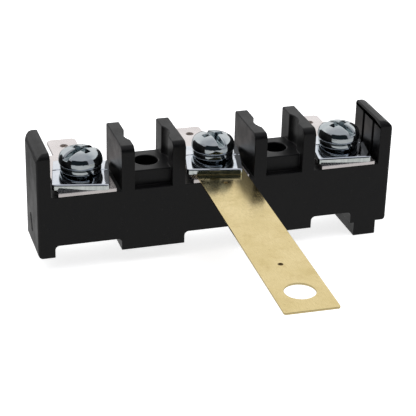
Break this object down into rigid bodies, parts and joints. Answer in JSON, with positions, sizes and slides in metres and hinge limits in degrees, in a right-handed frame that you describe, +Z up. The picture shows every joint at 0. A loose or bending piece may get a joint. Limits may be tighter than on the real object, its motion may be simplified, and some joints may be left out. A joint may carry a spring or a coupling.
{
  "type": "dryer terminal block",
  "caption": "Black moulded terminal block with screw stations between dividers, clamp plates, push-on tabs and a flat brass ground strap.",
  "frame": {"origin": "midway between the two mounting holes, on the plane of the feet", "axes": "+X to the right along the row of stations, +Y to the rear towards the push-on tabs, +Z up along the screws"},
  "size_m": [0.0764, 0.0843, 0.0261],
  "materials": {
    "moulded_body": "semi-gloss black thermoset moulding",
    "tinned_terminal": "tin plated, satin",
    "zinc_clamp": "bright zinc plated",
    "zinc_hardware": "bright zinc plated",
    "brass_strap": "mill finish, faintly mottled"
  },
  "bodies": {
    "block": {"housing": "moulded_body", "terminal_plate_left": "tinned_terminal", "terminal_plate_centre": "tinned_terminal", "terminal_plate_right": "tinned_terminal", "square_nut_left": "zinc_hardware", "square_nut_centre": "zinc_hardware", "square_nut_right": "zinc_hardware", "ground_strap": "brass_strap"},
    "clamp_left": {"clamp_plate_left": "zinc_clamp", "lock_washer_left": "zinc_hardware"},
    "screw_left": {"terminal_screw_left": "zinc_hardware"},
    "clamp_centre": {"clamp_plate_centre": "zinc_clamp", "lock_washer_centre": "zinc_hardware"},
    "screw_centre": {"terminal_screw_centre": "zinc_hardware"},
    "clamp_right": {"clamp_plate_right": "zinc_clamp", "lock_washer_right": "zinc_hardware"},
    "screw_right": {"terminal_screw_right": "zinc_hardware"}
  },
  "joints": [
    {"name": "clamp_lift_left", "type": "slide", "parent": "block", "child": "clamp_left", "axis": [0, 0, 1], "range_m": [0, 0.00396]},
    {"name": "screw_turn_left", "type": "hinge", "parent": "clamp_left", "child": "screw_left", "pos_m": [-0.0279, 0, 0.01775], "axis": [0, 0, 1], "range_deg": [0, 1800]},
    {"name": "clamp_lift_centre", "type": "slide", "parent": "block", "child": "clamp_centre", "axis": [0, 0, 1], "range_m": [0, 0.00396]},
    {"name": "screw_turn_centre", "type": "hinge", "parent": "clamp_centre", "child": "screw_centre", "pos_m": [0.00035, 0, 0.01815], "axis": [0, 0, 1], "range_deg": [0, 1800]},
    {"name": "clamp_lift_right", "type": "slide", "parent": "block", "child": "clamp_right", "axis": [0, 0, 1], "range_m": [0, 0.00396]},
    {"name": "screw_turn_right", "type": "hinge", "parent": "clamp_right", "child": "screw_right", "pos_m": [0.0286, 0, 0.01775], "axis": [0, 0, 1], "range_deg": [0, 1800]}
  ],
  "couplings": [
    {"joint": "screw_turn_left", "follows": "clamp_lift_left", "rad_per_m": 7915.7},
    {"joint": "screw_turn_centre", "follows": "clamp_lift_centre", "rad_per_m": 7915.7},
    {"joint": "screw_turn_right", "follows": "clamp_lift_right", "rad_per_m": 7915.7}
  ]
}
